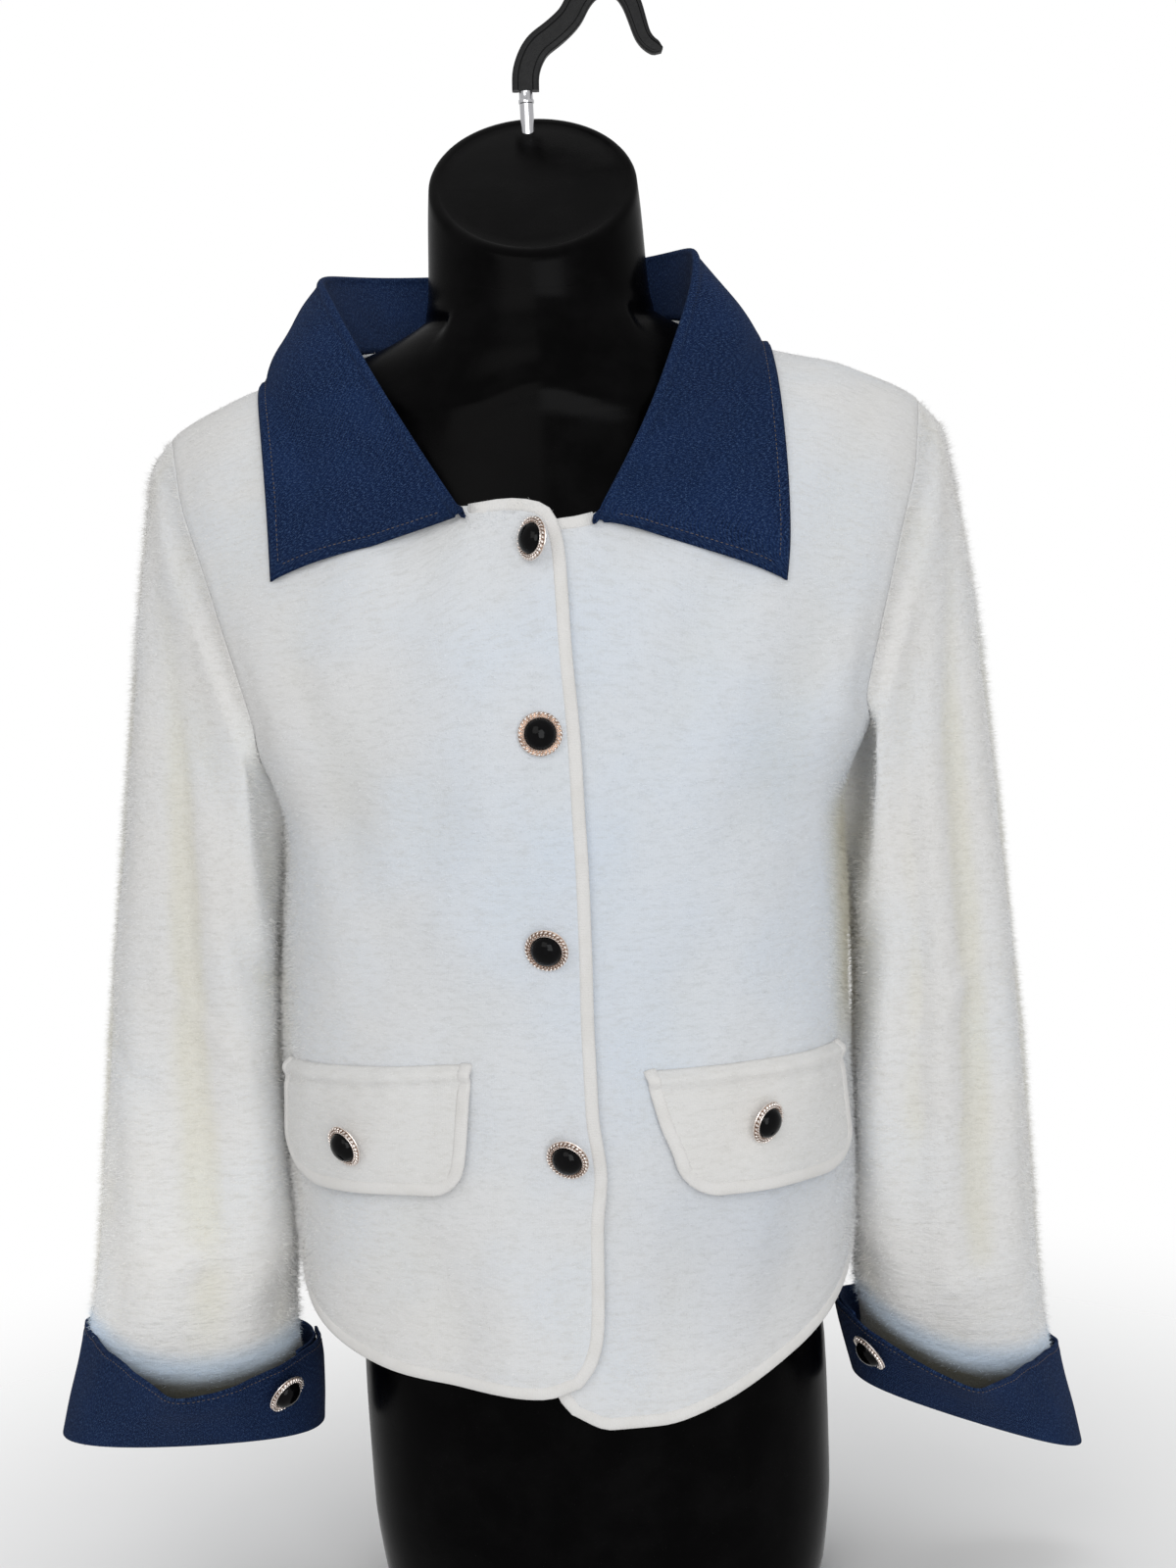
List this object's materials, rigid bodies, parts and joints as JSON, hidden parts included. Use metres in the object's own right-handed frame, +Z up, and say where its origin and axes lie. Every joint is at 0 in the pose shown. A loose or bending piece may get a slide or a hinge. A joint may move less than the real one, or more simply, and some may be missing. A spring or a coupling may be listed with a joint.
{
  "type": "knit jacket on hanging dress form",
  "caption": "Short brushed-knit jacket with denim collar and turned-back cuffs, buttoned closed on a glossy limbless hanging dress form with a hook.",
  "frame": {"origin": "middle of the dress form's flat base", "axes": "+Z up through the form's neck, the jacket's front faces -Y, its wearer's right is at -X"},
  "size_m": [0.5789, 0.2396, 0.9079],
  "materials": {
    "knit": "brushed fuzzy rib knit",
    "knit_binding": "smooth bound knit edge",
    "denim": "dark twill with tan topstitching",
    "button_metal": "pale rose gold plate, polished",
    "button_black": "glossy black",
    "form_plastic": "glossy moulded black",
    "pin_steel": "polished",
    "hook_plastic": "satin black"
  },
  "bodies": {
    "root": {"front_right": "knit", "front_left": "knit", "back": "knit", "sleeve_right": "knit", "sleeve_left": "knit", "flap_right": "knit", "flap_left": "knit", "binding_front_right": "knit_binding", "binding_front_left": "knit_binding", "binding_back": "knit_binding", "binding_flap_right": "knit_binding", "binding_flap_left": "knit_binding", "collar": "denim", "cuff_right": "denim", "cuff_left": "denim", "button_front_1_rim": "button_metal", "button_front_1_dome": "button_black", "button_front_2_rim": "button_metal", "button_front_2_dome": "button_black", "button_front_3_rim": "button_metal", "button_front_3_dome": "button_black", "button_front_4_rim": "button_metal", "button_front_4_dome": "button_black", "button_flap_right_rim": "button_metal", "button_flap_right_dome": "button_black", "button_flap_left_rim": "button_metal", "button_flap_left_dome": "button_black", "button_cuff_right_rim": "button_metal", "button_cuff_right_dome": "button_black", "button_cuff_left_rim": "button_metal", "button_cuff_left_dome": "button_black", "dress_form": "form_plastic", "hook_pin": "pin_steel", "hook": "hook_plastic"}
  },
  "joints": []
}
